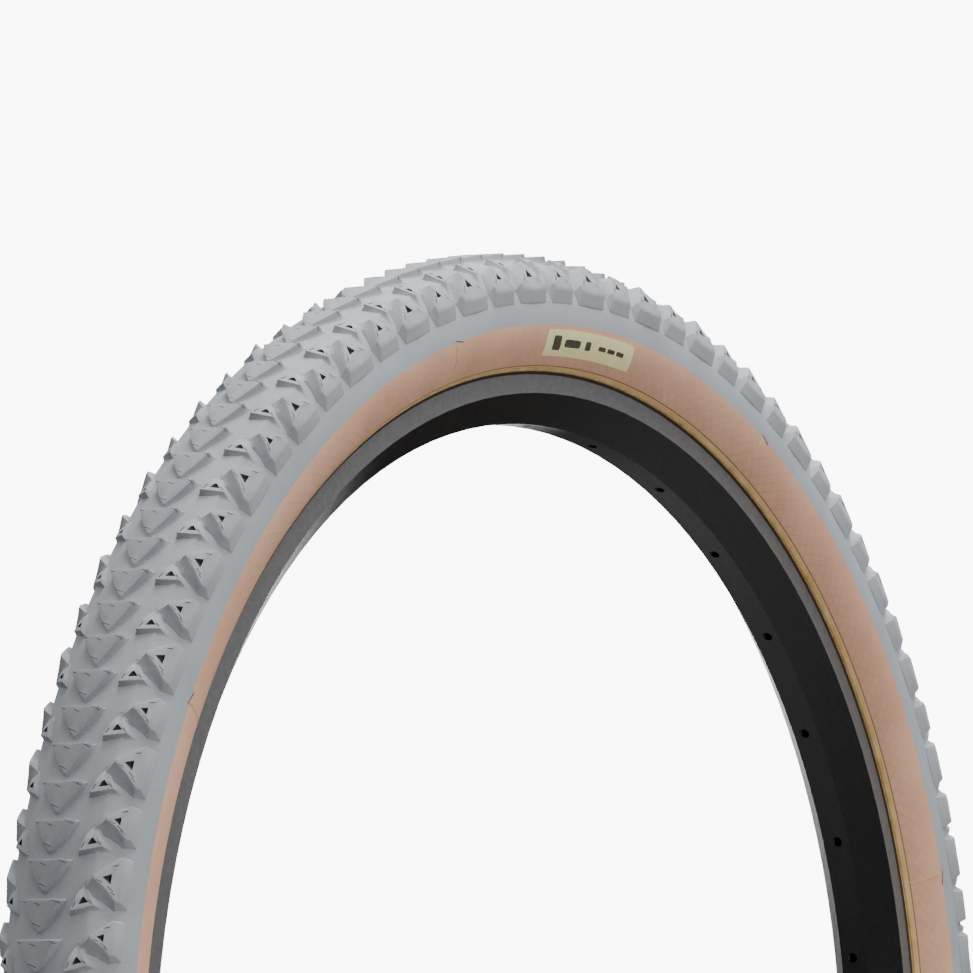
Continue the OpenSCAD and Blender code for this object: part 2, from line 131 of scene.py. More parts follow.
def add_object(name, verts, faces, material, body="wheel", smooth=35, dark=None):
    """One piece. dark lists the faces that take the second material, a near-black rubber that paints shade
    into deep cuts.
    """
    mesh = bpy.data.meshes.new(name)
    mesh.from_pydata(verts, [], faces)
    obj = bpy.data.objects.new(name, mesh)
    bpy.context.scene.collection.objects.link(obj)
    if material:
        mesh.materials.append(material)
    if dark:
        mesh.materials.append(CUT_SHADE)
        mesh.polygons.foreach_set("material_index", dark)
    mesh.validate()
    if smooth:
        shade(obj, smooth)
    if body:
        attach(obj, body)
    return obj


def shade(obj, degrees):
    """Smooth shading, with edges sharper than an angle kept crisp."""
    mesh = obj.data
    mesh.polygons.foreach_set("use_smooth", [True] * len(mesh.polygons))
    mesh.set_sharp_from_angle(angle=math.radians(degrees))


def on_wheel(x, y, z, angle):
    """A point given around, across and up from the axle, at an angle of the wheel."""
    c, s = math.cos(angle), math.sin(angle)
    return (x * s + z * c, y, -x * c + z * s)


def lathe(outline, steps):
    """A ring round the axle from a closed outline of (y, radius) points."""
    n = len(outline)
    verts = []
    for i in range(steps):
        a = 2 * math.pi * i / steps
        verts += [(r * math.cos(a), y, r * math.sin(a)) for y, r in outline]
    faces = []
    for i in range(steps):
        j = (i + 1) % steps
        for k in range(n):
            m = (k + 1) % n
            faces.append((i * n + k, j * n + k, j * n + m, i * n + m))
    return verts, faces


def arc(centre_y, centre_r, radius, start, end, steps):
    """Points of (y, radius) on an arc; angles in radians from +y towards the outside."""
    return [
        (centre_y + radius * math.cos(start + (end - start) * i / steps),
         centre_r + radius * math.sin(start + (end - start) * i / steps))
        for i in range(steps + 1)
    ]


def offset(points, distance):
    """Moves an outline outwards, limiting how far a sharp corner goes."""
    n = len(points)
    moved = []
    for i, (x, y) in enumerate(points):
        ax, ay = points[i - 1]
        bx, by = points[(i + 1) % n]
        n1 = Vector((y - ay, ax - x)).normalized()
        n2 = Vector((by - y, x - bx)).normalized()
        out = (n1 + n2) / max(1 + n1.dot(n2), 0.5)
        moved.append((x + out.x * distance, y + out.y * distance))
    return moved


def stack(loops):
    """A closed solid from outlines of equal length, top first, with fans at both ends."""
    n = len(loops[0])
    verts = [p for loop in loops for p in loop]
    faces = []
    for level in range(len(loops) - 1):
        a, b = level * n, (level + 1) * n
        for k in range(n):
            m = (k + 1) % n
            faces.append((a + k, b + k, b + m, a + m))
    for loop, first, flip in ((loops[0], 0, False), (loops[-1], (len(loops) - 1) * n, True)):
        centre = len(verts)
        verts.append(tuple(sum(p[i] for p in loop) / n for i in range(3)))
        for k in range(n):
            m = (k + 1) % n
            faces.append((centre, first + m, first + k) if flip else (centre, first + k, first + m))
    return verts, faces


def join(parts):
    """One mesh from many."""
    verts, faces = [], []
    for v, f in parts:
        base = len(verts)
        verts += v
        faces += [tuple(base + i for i in face) for face in f]
    return verts, faces


def slit(x, y, z, length, width, depth, lean):
    """A thin cutter across a knob's top. lean is its sideways run for each unit across."""
    size = math.hypot(1, lean)
    ux, uy = lean / size, 1 / size
    corners = []
    for sx, sy in ((-1, -1), (1, -1), (1, 1), (-1, 1)):
        corners.append((
            x + sx * width / 2 * uy + sy * length / 2 * ux,
            y - sx * width / 2 * ux + sy * length / 2 * uy))
    top = [(px, py, z + 2 * MM) for px, py in corners]
    low = [(px, py, z - depth) for px, py in corners]
    return stack([top, low])


def pit(points, z_of, depth):
    """A cutter with sloping walls for the triangular pit in a knob's top."""
    cx = sum(p[0] for p in points) / len(points)
    cy = sum(p[1] for p in points) / len(points)
    def floor(x, y):
        return max(z_of(x, y) - depth, crown_z(y) + 0.15 * MM)
    above = [(cx + (x - cx) * 1.1, cy + (y - cy) * 1.1, z_of(x, y) + 1 * MM) for x, y in points]
    below = [(cx + (x - cx) * 0.85, cy + (y - cy) * 0.85, floor(x, y)) for x, y in points]
    return stack([above, below])


def carve(name, solid, cutters, rounding):
    """Rounds a knob's edges, then cuts its slits and pit. Returns its finished mesh."""
    body = add_object(name, *solid, TREAD, body=None, smooth=0)
    tool = add_object(name + "_cut", *join(cutters), CUT_SHADE, body=None, smooth=0)
    bevel = body.modifiers.new("round", "BEVEL")
    bevel.width = rounding
    bevel.segments = 2
    bevel.limit_method = "ANGLE"
    bevel.angle_limit = math.radians(32)
    cut = body.modifiers.new("cut", "BOOLEAN")
    cut.operation = "DIFFERENCE"
    cut.solver = "EXACT"
    cut.material_mode = "TRANSFER"
    cut.object = tool
    bpy.context.view_layer.update()
    done = body.evaluated_get(bpy.context.evaluated_depsgraph_get()).to_mesh()
    verts = [tuple(v.co) for v in done.vertices]
    faces = [tuple(p.vertices) for p in done.polygons]
    names = [m.name if m else "" for m in done.materials]
    # Faces that the slits and pit cut take the near-black rubber: painted shade in the cuts.
    dark = [int(names[p.material_index] == CUT_SHADE.name) for p in done.polygons]
    bpy.data.objects.remove(body)
    bpy.data.objects.remove(tool)
    return verts, faces, dark


def row_of(name, placed, material, *nodes):
    """One piece from knobs at their places. placed lists (mesh, angle, mirrored)."""
    parts, dark = [], []
    for (verts, faces, cuts), angle, mirrored in placed:
        side = -1 if mirrored else 1
        moved = [on_wheel(x, side * y, z, angle) for x, y, z in verts]
        parts.append((moved, [f[::-1] for f in faces] if mirrored else faces))
        dark += cuts
    obj = add_object(name, *join(parts), material, smooth=28, dark=dark)
    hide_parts(*nodes)
    return obj


# ---------- materials ----------

class Nodes:
    """A small helper that builds a material's node tree."""

    def __init__(self, name):
        self.material = bpy.data.materials.new(name)
        self.material.use_nodes = True
        self.tree = self.material.node_tree
        self.shader = self.tree.nodes["Principled BSDF"]
        geometry = self.tree.nodes.new("ShaderNodeNewGeometry")
        self.position = geometry.outputs["Position"]
        self.normal = geometry.outputs["Normal"]

    def put(self, kind, inputs=None, **settings):
        node = self.tree.nodes.new(kind)
        for key, value in settings.items():
            setattr(node, key, value)
        for key, value in (inputs or {}).items():
            socket = node.inputs[key]
            if isinstance(value, bpy.types.NodeSocket):
                self.tree.links.new(value, socket)
            else:
                socket.default_value = value
        return node

    def math(self, operation, a, b=0.0):
        return self.put("ShaderNodeMath", {0: a, 1: b}, operation=operation).outputs[0]

    def noise(self, scale, detail=4.0, roughness=0.6, vector=None):
        inputs = {"Vector": vector or self.position, "Scale": scale, "Detail": detail,
                  "Roughness": roughness}
        return self.put("ShaderNodeTexNoise", inputs).outputs["Fac"]

    def ramp(self, value, low, high, colour_low, colour_high):
        node = self.put("ShaderNodeValToRGB", {"Fac": value})
        first, last = node.color_ramp.elements
        first.position, last.position = low, high
        first.color, last.color = (*colour_low, 1), (*colour_high, 1)
        return node.outputs["Color"]

    def mix(self, factor, a, b, blend="MIX"):
        node = self.put("ShaderNodeMix", data_type="RGBA", blend_type=blend)
        for index, value in ((0, factor), (6, a), (7, b)):
            socket = node.inputs[index]
            if isinstance(value, bpy.types.NodeSocket):
                self.tree.links.new(value, socket)
            else:
                socket.default_value = value if index == 0 else (*value, 1)
        return node.outputs[2]

    def around(self):
        """Distance round the wheel in metres, at the tread edge."""
        xyz = self.put("ShaderNodeSeparateXYZ", {0: self.position})
        angle = self.math("ARCTAN2", xyz.outputs[2], xyz.outputs[0])
        return self.math("MULTIPLY", angle, EDGE_R)

    def radius(self):
        xyz = self.put("ShaderNodeSeparateXYZ", {0: self.position})
        square = self.math("ADD", self.math("MULTIPLY", xyz.outputs[0], xyz.outputs[0]),
                           self.math("MULTIPLY", xyz.outputs[2], xyz.outputs[2]))
        return self.math("SQRT", square)

    def finish(self, colour, roughness, metallic=0.0, bumps=(), specular=0.5):
        for key, value in (("Base Color", colour), ("Roughness", roughness),
                           ("Metallic", metallic), ("Specular IOR Level", specular)):
            socket = self.shader.inputs[key]
            if isinstance(value, bpy.types.NodeSocket):
                self.tree.links.new(value, socket)
            else:
                socket.default_value = (*value, 1) if key == "Base Color" else value
        last = None
        for height, strength, distance in bumps:
            inputs = {"Height": height, "Strength": strength, "Distance": distance}
            if last:
                inputs["Normal"] = last
            last = self.put("ShaderNodeBump", inputs).outputs["Normal"]
        if last:
            self.tree.links.new(last, self.shader.inputs["Normal"])
        return self.material


def tread_material():
    m = Nodes("tread_rubber")
    cloud = m.noise(22, 5, 0.65)
    speck = m.noise(900, 3, 0.7)
    colour = m.ramp(cloud, 0.3, 0.72, (0.32, 0.345, 0.37), (0.41, 0.435, 0.465))
    colour = m.mix(m.ramp(speck, 0.42, 0.7, (0, 0, 0), (0.22, 0.22, 0.22)), colour, (0.52, 0.54, 0.56))
    rough = m.put("ShaderNodeMapRange", {"Value": m.noise(60), 3: 0.62, 4: 0.84}).outputs[0]
    return m.finish(colour, rough, bumps=((m.noise(1600, 4, 0.7), 0.18, 0.0002),
                                          (m.noise(140, 3), 0.12, 0.0005)), specular=0.35)


def tan_material():
    m = Nodes("tan_rubber")
    around = m.around()
    radius = m.radius()
    lines = []
    for slant in (1.0, -1.0):
        run = m.math("ADD", around, m.math("MULTIPLY", radius, 1.3 * slant))
        run = m.math("ADD", run, m.math("MULTIPLY", m.noise(45, 2), 0.004))
        wave = m.math("SINE", m.math("MULTIPLY", run, 2 * math.pi / 0.013))
        lines.append(m.math("POWER", m.math("ABSOLUTE", wave), 30.0))
    cords = m.math("MAXIMUM", lines[0], lines[1])
    cloud = m.noise(30, 6, 0.62)
    colour = m.ramp(cloud, 0.28, 0.75, (0.62, 0.335, 0.215), (0.80, 0.465, 0.315))
    stain = m.noise(9, 3)
    colour = m.mix(m.ramp(stain, 0.45, 0.8, (0, 0, 0), (0.5, 0.5, 0.5)), colour, (0.76, 0.48, 0.35))
    low = m.put("ShaderNodeMapRange", {"Value": radius, 1: STRIP_TOP_R, 2: EDGE_R, 3: 0.4, 4: 0.06})
    shown = m.math("MULTIPLY", cords, m.math("MULTIPLY", m.noise(70, 2), low.outputs[0]))
    colour = m.mix(shown, colour, (0.36, 0.17, 0.10))
    foot = m.math("LESS_THAN", radius, STRIP_TOP_R + 0.6 * MM)
    colour = m.mix(foot, colour, (0.74, 0.50, 0.22))
    from_line = m.math("ABSOLUTE", m.math("SUBTRACT", radius, STRIP_TOP_R + 0.7 * MM))
    line = m.math("LESS_THAN", from_line, 0.2 * MM)
    colour = m.mix(line, colour, (0.30, 0.15, 0.07))
    fine = m.math("SINE", m.math("MULTIPLY", m.math("SUBTRACT", around, radius), 2 * math.pi / 0.0009))
    rough = m.put("ShaderNodeMapRange", {"Value": m.noise(80), 3: 0.6, 4: 0.8}).outputs[0]
    return m.finish(colour, rough, bumps=((fine, 0.08, 0.0001), (cords, 0.2, 0.00015),
                                          (m.noise(400), 0.15, 0.0002)), specular=0.35)


def gold_material():
    m = Nodes("gold_strip")
    line = m.ramp(m.noise(120, 5), 0.3, 0.7, (0.58, 0.36, 0.13), (0.82, 0.58, 0.27))
    # Below the line the strip is painted near-black: painted shade for the gap between the tyre and the
    # rim.
    above = m.math("GREATER_THAN", m.radius(), FLANGE_R + 0.7 * MM)
    colour = m.mix(above, (0.03, 0.02, 0.012), line)
    weave = m.math("SINE", m.math("MULTIPLY", m.around(), 2 * math.pi / 0.0008))
    return m.finish(colour, 0.6, bumps=((weave, 0.15, 0.0001),), specular=0.4)


def rim_material():
    m = Nodes("rim_alloy")
    side = m.math("ABSOLUTE", m.put("ShaderNodeSeparateXYZ", {0: m.normal}).outputs[1])
    is_side = m.math("GREATER_THAN", side, 0.9)
    grain = m.noise(500, 4)
    dark = m.ramp(grain, 0.3, 0.7, (0.006, 0.006, 0.006), (0.012, 0.0115, 0.011))
    grey = m.ramp(grain, 0.3, 0.7, (0.14, 0.137, 0.142), (0.18, 0.177, 0.182))
    rough = m.put("ShaderNodeMapRange", {"Value": m.noise(300), 3: 0.34, 4: 0.5}).outputs[0]
    return m.finish(m.mix(is_side, dark, grey), rough, metallic=0.35,
                    bumps=((m.noise(2500, 2), 0.05, 0.0001),))


def cloth_material(name, low, high, pitch):
    m = Nodes(name)
    radius, around = m.radius(), m.around()
    warp = m.math("SINE", m.math("MULTIPLY", m.math("ADD", around, radius), 2 * math.pi / pitch))
    weft = m.math("SINE", m.math("MULTIPLY", m.math("SUBTRACT", around, radius), 2 * math.pi / pitch))
    weave = m.math("MULTIPLY", warp, weft)
    colour = m.ramp(m.math("ADD", m.math("MULTIPLY", weave, 0.3), m.noise(90)), 0.3, 0.8, low, high)
    return m.finish(colour, 0.85, bumps=((weave, 0.3, 0.0002),), specular=0.2)


def plain_material(name, low, high, roughness, metallic=0.0, grain=400):
    m = Nodes(name)
    colour = m.ramp(m.noise(grain, 4), 0.3, 0.7, low, high)
    rough = m.put("ShaderNodeMapRange", {"Value": m.noise(grain / 3), 3: roughness - 0.06,
                                         4: roughness + 0.08}).outputs[0]
    return m.finish(colour, rough, metallic, bumps=((m.noise(grain * 4), 0.08, 0.0001),))


TREAD = tread_material()
TAN = tan_material()
GOLD = gold_material()
RIM = rim_material()
TAPE = cloth_material("tape_cloth", (0.4, 0.06, 0.04), (0.6, 0.12, 0.08), 0.0012)
CASING = cloth_material("casing_cord", (0.34, 0.22, 0.14), (0.5, 0.36, 0.25), 0.0009)
BELT = cloth_material("belt_cloth", (0.55, 0.5, 0.38), (0.75, 0.7, 0.58), 0.0011)
BEAD = cloth_material("bead_cord", (0.55, 0.4, 0.1), (0.75, 0.6, 0.2), 0.001)
TUBE = plain_material("tube_rubber", (0.012, 0.012, 0.013), (0.03, 0.03, 0.031), 0.6)
SLEEVE = plain_material("sleeve_alloy", (0.6, 0.6, 0.61), (0.74, 0.74, 0.76), 0.32, 1.0)
STEM = plain_material("stem_brass", (0.62, 0.56, 0.42), (0.78, 0.72, 0.58), 0.28, 1.0)
NUT = plain_material("nut_steel", (0.5, 0.5, 0.52), (0.66, 0.66, 0.68), 0.3, 1.0)
CORE = plain_material("core_brass", (0.66, 0.5, 0.22), (0.8, 0.64, 0.32), 0.26, 1.0)
CAP = plain_material("cap_plastic", (0.012, 0.012, 0.013), (0.024, 0.024, 0.026), 0.42)
LABEL = plain_material("label_film", (0.86, 0.81, 0.38), (0.94, 0.90, 0.50), 0.5, grain=150)
# Near-black rubber for the walls of slits and pits: painted shade in these recesses, not a rubber of its
# own.
CUT_SHADE = plain_material("painted_cut_shade", (0.030, 0.033, 0.038), (0.050, 0.054, 0.060), 0.85)
INK = plain_material("label_ink", (0.05, 0.05, 0.03), (0.10, 0.09, 0.06), 0.55)


# ---------- knobs ----------

SIPE_W = 0.24 * MM
SIPE_LEAN = 0.36
CENTRE_LEAD = -1.1
TRANSITION_LEAD = -2.375


def knob_loops(outline, top_of, draft, flare, fillet):
    """Top, lower wall, foot and root outlines of a knob that stands on the crown.
    Knobs are drawn with x around the wheel, y across it and z up from the axle."""
    lower = offset(outline, draft)
    foot = offset(outline, draft + flare)
    return [
        [(x, y, top_of(x, y)) for x, y in outline],
        [(x, y, crown_z(y) + fillet) for x, y in lower],
        [(x, y, crown_z(y)) for x, y in foot],
        [(x, y, crown_z(y) - 1 * MM) for x, y in foot],
    ]


def centre_knob():
    """A delta: low at the tip of the V, square at its far edge, with bowed arms."""
    length, half, tip = 12.2 * MM, 9 * MM, 0.5 * MM
    high, low, fall = 2.8 * MM, 1.3 * MM, 0.2 * MM
    bow = 0.5 * MM
    arm = []
    for i in range(7):
        u = i / 6
        arm.append((length * u - bow * math.sin(math.pi * u) * 0.6, tip + (half - tip) * u
                    + bow * math.sin(math.pi * u)))
    outline = [(x, -y) for x, y in arm] + [(length, 0)] + arm[::-1]
    def top(x, y):
        return CROWN_R + low + (high - low) * x / length - fall * (y / half) ** 2
    solid = stack(knob_loops(outline, top, 0.25 * MM, 0.6 * MM, 0.5 * MM))
    cuts = [
        slit(2.5 * MM, 1.2 * MM, top(2.5 * MM, 0), 3.9 * MM, SIPE_W, 1.1 * MM, SIPE_LEAN),
        slit(10.4 * MM, 1.0 * MM, top(10.4 * MM, 0), 2.8 * MM, SIPE_W, 1.6 * MM, SIPE_LEAN),
        slit(11.5 * MM, -7.6 * MM, top(11 * MM, 7 * MM), 4.2 * MM, SIPE_W, 1.8 * MM, SIPE_LEAN),
        slit(11.6 * MM, 8.2 * MM, top(11 * MM, 7 * MM), 3.6 * MM, SIPE_W, 1.8 * MM, SIPE_LEAN),
    ]
    return carve("centre_knob", solid, cuts, 0.22 * MM)


def along(corners, counts):
    """A closed outline through corners, with each edge split into its own number of parts."""
    out = []
    for i, (x, y) in enumerate(corners):
        bx, by = corners[(i + 1) % len(corners)]
        out += [(x + (bx - x) * k / counts[i], y + (by - y) * k / counts[i]) for k in range(counts[i])]
    return out


def transition_knob():
    """A triangular block: square at the edge that faces back, with a flat top and a falling tail."""
    high, tail_h, flat_l, tail_l = 2.9 * MM, 0.3 * MM, 6.5 * MM, 11.2 * MM
    in_y, tail_y, out_y, skew = 13.2 * MM, 16.3 * MM, 20.8 * MM, 3.1 * MM
    splay = 1.3 * MM
    counts = (5, 1, 4, 1, 4)
    outline = along([(0, in_y), (tail_l, tail_y - 0.3 * MM), (tail_l, tail_y + 0.3 * MM),
                     (skew + 0.3 * MM, out_y), (skew, out_y)], counts)
    foot = along([(-splay, in_y - splay), (tail_l + 0.6 * MM, tail_y - 0.5 * MM),
                  (tail_l + 0.6 * MM, tail_y + 0.5 * MM), (skew + 0.4 * MM, out_y + splay),
                  (skew - splay, out_y + splay)], counts)
    drop = (crown_z(in_y) - crown_z(out_y)) / (out_y - in_y)
    def top(x, y):
        fall = (high - tail_h) * max(x - flat_l, 0) / (tail_l - flat_l)
        return crown_z(in_y) + high - drop * (y - in_y) - fall
    upper = [(x, y, top(x, y)) for x, y in outline]
    lower = [(x, y, crown_z(y)) for x, y in foot]
    slopes = []
    for step in (0.4, 0.75):
        slopes.append([(u[0] + (v[0] - u[0]) * step ** 1.6, u[1] + (v[1] - u[1]) * step ** 1.6,
                        u[2] + (v[2] - u[2]) * step) for u, v in zip(upper, lower)])
    solid = stack([upper] + slopes + [lower, [(x, y, z - 1 * MM) for x, y, z in lower]])
    cuts = [
        pit([(2.9 * MM, 15.7 * MM), (6.6 * MM, 16.7 * MM), (4.2 * MM, 18.9 * MM)], top, 1.8 * MM),
        slit(2.6 * MM, 14.4 * MM, top(1 * MM, 14 * MM), 2.6 * MM, SIPE_W, 1.2 * MM, 4.0),
        slit(4.3 * MM, 19.6 * MM, top(4 * MM, 20 * MM), 1.8 * MM, SIPE_W, 1.2 * MM, -0.8),
    ]
    return carve("transition_knob", solid, cuts, 0.2 * MM)


def shoulder_knob(length):
    """A block over the shoulder: a triangular top, a long soft slope towards -x, a flat outer face."""
    large = length > 17 * MM
    half = length / 2
    k = half / (9.5 * MM)
    out_y = HALF_W + 0.1 * MM
    in_y = out_y - (6.2 * MM if large else 5.3 * MM)
    corner_y = out_y - 0.8 * MM
    foot_y = out_y - 1 * MM
    middle_y = (in_y + corner_y) / 2
    lift = SHOULDER_ARC + 3.3 * MM
    foot_r = EDGE_R + 9.2 * MM
    def on_lift(y):
        return EDGE_R + math.sqrt(lift ** 2 - (y - SHOULDER_ARC_Y) ** 2)
    in_top, out_top = on_lift(in_y) - 0.3 * MM, on_lift(out_y)
    def top(x, y):
        return in_top + (out_top - in_top) * (y - in_y) / (out_y - in_y)
    left, right = -half + 1.8 * MM, half - 0.2 * MM
    roof = 0.35 * MM if large else 0.0
    plan = [(-0.7 * MM, in_y), (0.4 * MM, in_y), (right * 0.55, middle_y), (right, corner_y),
            (right, out_y), (0, out_y + roof), (left, out_y), (left - 0.3 * MM, corner_y),
            (left * 0.52, middle_y + 0.3 * MM)]
    foot = [(-3.9 * MM * k, in_y - 4.4 * MM), (0.9 * MM * k, in_y - 1.9 * MM),
            (right * 0.55 + 1.1 * MM, middle_y - 1.2 * MM),
            (half + 0.9 * MM, corner_y - 1.0 * MM), (half + 0.2 * MM, foot_y), (0, foot_y + roof),
            (-half + 0.1 * MM, foot_y), (-half - 1.6 * MM, corner_y - 2.1 * MM),
            (left * 0.62 - 2.9 * MM, middle_y - 4.2 * MM)]
    faces_out = [y > foot_y - 0.1 * MM for x, y in foot]
    low = [foot_r if out else crown_z(y) + 0.15 * MM for (x, y), out in zip(foot, faces_out)]
    edge = 0.5 * MM
    lower = [(x, y, z) for (x, y), z in zip(foot, low)]
    brink = [(x, y, top(x, y) - (edge if out else 0)) for (x, y), out in zip(plan, faces_out)]
    upper = [(x, y - (edge if out else 0), top(x, y)) for (x, y), out in zip(plan, faces_out)]
    slopes = []
    for step in (0.12, 0.25, 0.4, 0.55, 0.7, 0.85):
        loop = []
        for u, v, out in zip(brink, lower, faces_out):
            drop = step if out else step * step * (3 - 2 * step)
            loop.append((u[0] + (v[0] - u[0]) * step, u[1] + (v[1] - u[1]) * step,
                         u[2] + (v[2] - u[2]) * drop))
        slopes.append(loop)
    flare = [(x * 1.03, y - 0.5 * MM, z - 0.5 * MM) for x, y, z in lower]
    root = [(x, y - 2.5 * MM, z - 1.5 * MM) for x, y, z in lower]
    solid = stack([upper] + slopes + [lower, flare, root])
    pit_y = out_y - 2.4 * MM
    hole = [(-1.9 * MM * k, pit_y), (0.3 * MM, pit_y - 1.9 * MM * k), (2.3 * MM * k, pit_y)]
    cuts = [
        pit(hole, top, 2.4 * MM),
        slit(-1.5 * MM * k, in_y + 1.4 * MM, top(0, in_y + 1.4 * MM), 1.6 * MM, SIPE_W, 1.0 * MM, -0.4),
        slit(left * 0.5, out_y - 2.1 * MM, top(0, out_y - 2.1 * MM), 2.6 * MM, SIPE_W, 1.0 * MM, -1.1),
        slit(left * 0.68, out_y - 1.7 * MM, top(0, out_y - 1.7 * MM), 1.4 * MM, SIPE_W, 1.0 * MM, -1.1),
        slit(right * 0.62, out_y - 1.8 * MM, top(0, out_y - 1.8 * MM), 1.5 * MM, SIPE_W, 1.0 * MM, 0.9),
    ]
    return carve("shoulder_knob", solid, cuts, 0.25 * MM)


def repeat_angles(shift_degrees):
    return [PHASE + i * REPEAT - math.radians(shift_degrees) for i in range(REPEATS)]


def build_knobs():
    step = math.degrees(REPEAT)
    centre = centre_knob()
    centre_at = [a for k in range(3) for a in repeat_angles(CENTRE_LEAD + k * step / 3)]
    row_of("centre_knob_row", [(centre, a, False) for a in centre_at], TREAD, "centre_knobs")
    transition = transition_knob()
    transition_at = [a for k in range(2) for a in repeat_angles(TRANSITION_LEAD + k * step / 2)]
    large, small = shoulder_knob(19 * MM), shoulder_knob(14.8 * MM)
    shoulder_at = [(large, a) for a in repeat_angles(0)] + [(small, a) for a in repeat_angles(step / 2)]
    for side, mirrored in (("front", True), ("back", False)):
        row_of("transition_row_" + side, [(transition, a, mirrored) for a in transition_at], TREAD,
               "transition_knobs_" + side)
        row_of("shoulder_row_" + side, [(knob, a, mirrored) for knob, a in shoulder_at], TREAD,
               "shoulder_knobs_" + side)


# ---------- tread base, side walls and beads ----------

def tread_outline():
    """The bare tread surface from edge to edge, and the casing under it."""
    ys = [HALF_W * math.sin(math.pi * (i / 60 - 0.5)) for i in range(61)]
    outer = [(y, max(crown_z(y), EDGE_R)) for y in ys]
    end = math.asin((EDGE_R - SECTION_Z) / CASING_R)
    inner = arc(0, SECTION_Z, CASING_R, end, math.pi - end, 40)
    return outer + inner


def build_tread_base():
    obj = add_object("tread_surface", *lathe(tread_outline(), RING_STEPS), TREAD, smooth=40)
    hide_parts("tread_base")
    creases = []
    start, thin = -3.6 * MM, 0.12 * MM
    top = [(start, -thin, CROWN_R + 0.05 * MM), (0, -thin, CROWN_R + 0.3 * MM),
           (0, thin, CROWN_R + 0.3 * MM), (start, thin, CROWN_R + 0.05 * MM)]
    low = [(x, 2.5 * y, CROWN_R - 0.5 * MM) for x, y, z in top]
    verts, faces = stack([top, low])
    for k in range(3):
        for angle in repeat_angles(CENTRE_LEAD + k * math.degrees(REPEAT) / 3):
            creases.append(([on_wheel(*v, angle) for v in verts], faces))
    ridge = add_object("tread_crease", *join(creases), TREAD, smooth=0)


def build_bead_strips():
    """The gold line beside the bead, and the gap between it and the rim, painted near-black by the strip's
    material as shade.
    """
    gap_r = FLANGE_R + 1.1 * MM
    stand_out = 0.1 * MM
    def on_section(radius, r):
        return math.asin((r - SECTION_Z) / radius)
    outer = arc(0, SECTION_Z, HALF_W + stand_out, on_section(HALF_W, gap_r),
                on_section(HALF_W, STRIP_TOP_R), 6)
    back = arc(0, SECTION_Z, CASING_R, on_section(CASING_R, STRIP_TOP_R),
               on_section(CASING_R, FLANGE_R), 6)
    step_y = outer[0][0] - 0.9 * MM
    foot_r = FLANGE_R - 4.5 * MM
    outline = [(step_y - 0.3 * MM, FLANGE_R - 0.2 * MM), (step_y, gap_r - 0.15 * MM)] + outer + back
    outline += [(13.2 * MM, foot_r), (14.6 * MM, foot_r)]
    for side, sign in (("front", -1), ("back", 1)):
        ring = lathe([(sign * y, r) for y, r in outline], RING_STEPS)
        obj = add_object("bead_line_" + side, *ring, GOLD, smooth=30)
        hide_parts("bead_strip_" + side)


def build_sidewalls():
    low = math.asin((STRIP_TOP_R - SECTION_Z) / HALF_W)
    high = math.asin((EDGE_R - SECTION_Z) / HALF_W)
    outer = arc(0, SECTION_Z, HALF_W, low, high, 24)
    inner = arc(0, SECTION_Z, CASING_R, high, low, 16)
    for side, sign in (("front", -1), ("back", 1)):
        outline = [(sign * y, r) for y, r in outer + inner]
        obj = add_object("side_wall_" + side, *lathe(outline, RING_STEPS), TAN, smooth=40)
        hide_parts("sidewall_" + side)
        build_seams(side, sign, low, high)


def raised_line(sign, angle, start, end, width, drift):
    """A thin raised line on a side wall, between two angles of the section.
    drift is how far it runs around the wheel from one end to the other."""
    steps = 10
    spine = arc(0, SECTION_Z, HALF_W + 0.14 * MM, start, end, steps)
    sunk = arc(0, SECTION_Z, HALF_W - 0.4 * MM, start, end, steps)
    verts, faces = [], []
    for k in range(steps + 1):
        shift = drift * k / steps
        for y, r in (spine[k], sunk[k]):
            for edge in (-width / 2, width / 2):
                verts.append(on_wheel(edge + shift, sign * y, r, angle))
    for k in range(steps):
        a, b = 4 * k, 4 * (k + 1)
        faces += [(a, a + 1, b + 1, b), (a + 1, a + 3, b + 3, b + 1), (a + 3, a + 2, b + 2, b + 3),
                  (a + 2, a, b, b + 2)]
    last = 4 * steps
    faces += [(0, 2, 3, 1), (last, last + 1, last + 3, last + 2)]
    return verts, faces


def build_seams(side, sign, low, high):
    """Lines across the side wall, and the tick where each one meets the tread."""
    angles = [SEAM_PHASE + i * 2 * math.pi / SEAMS for i in range(SEAMS)]
    lines = [raised_line(sign, a, low, high, 0.45 * MM, 0.5 * MM) for a in angles]
    ticks = [raised_line(sign, a, high + 0.03, high - 0.03, 1.1 * MM, 5.5 * MM) for a in angles]
    seam = add_object("seam_lines_" + side, *join(lines), GOLD, smooth=0)
    tick = add_object("seam_ticks_" + side, *join(ticks), TUBE, smooth=0)


# ---------- label ----------

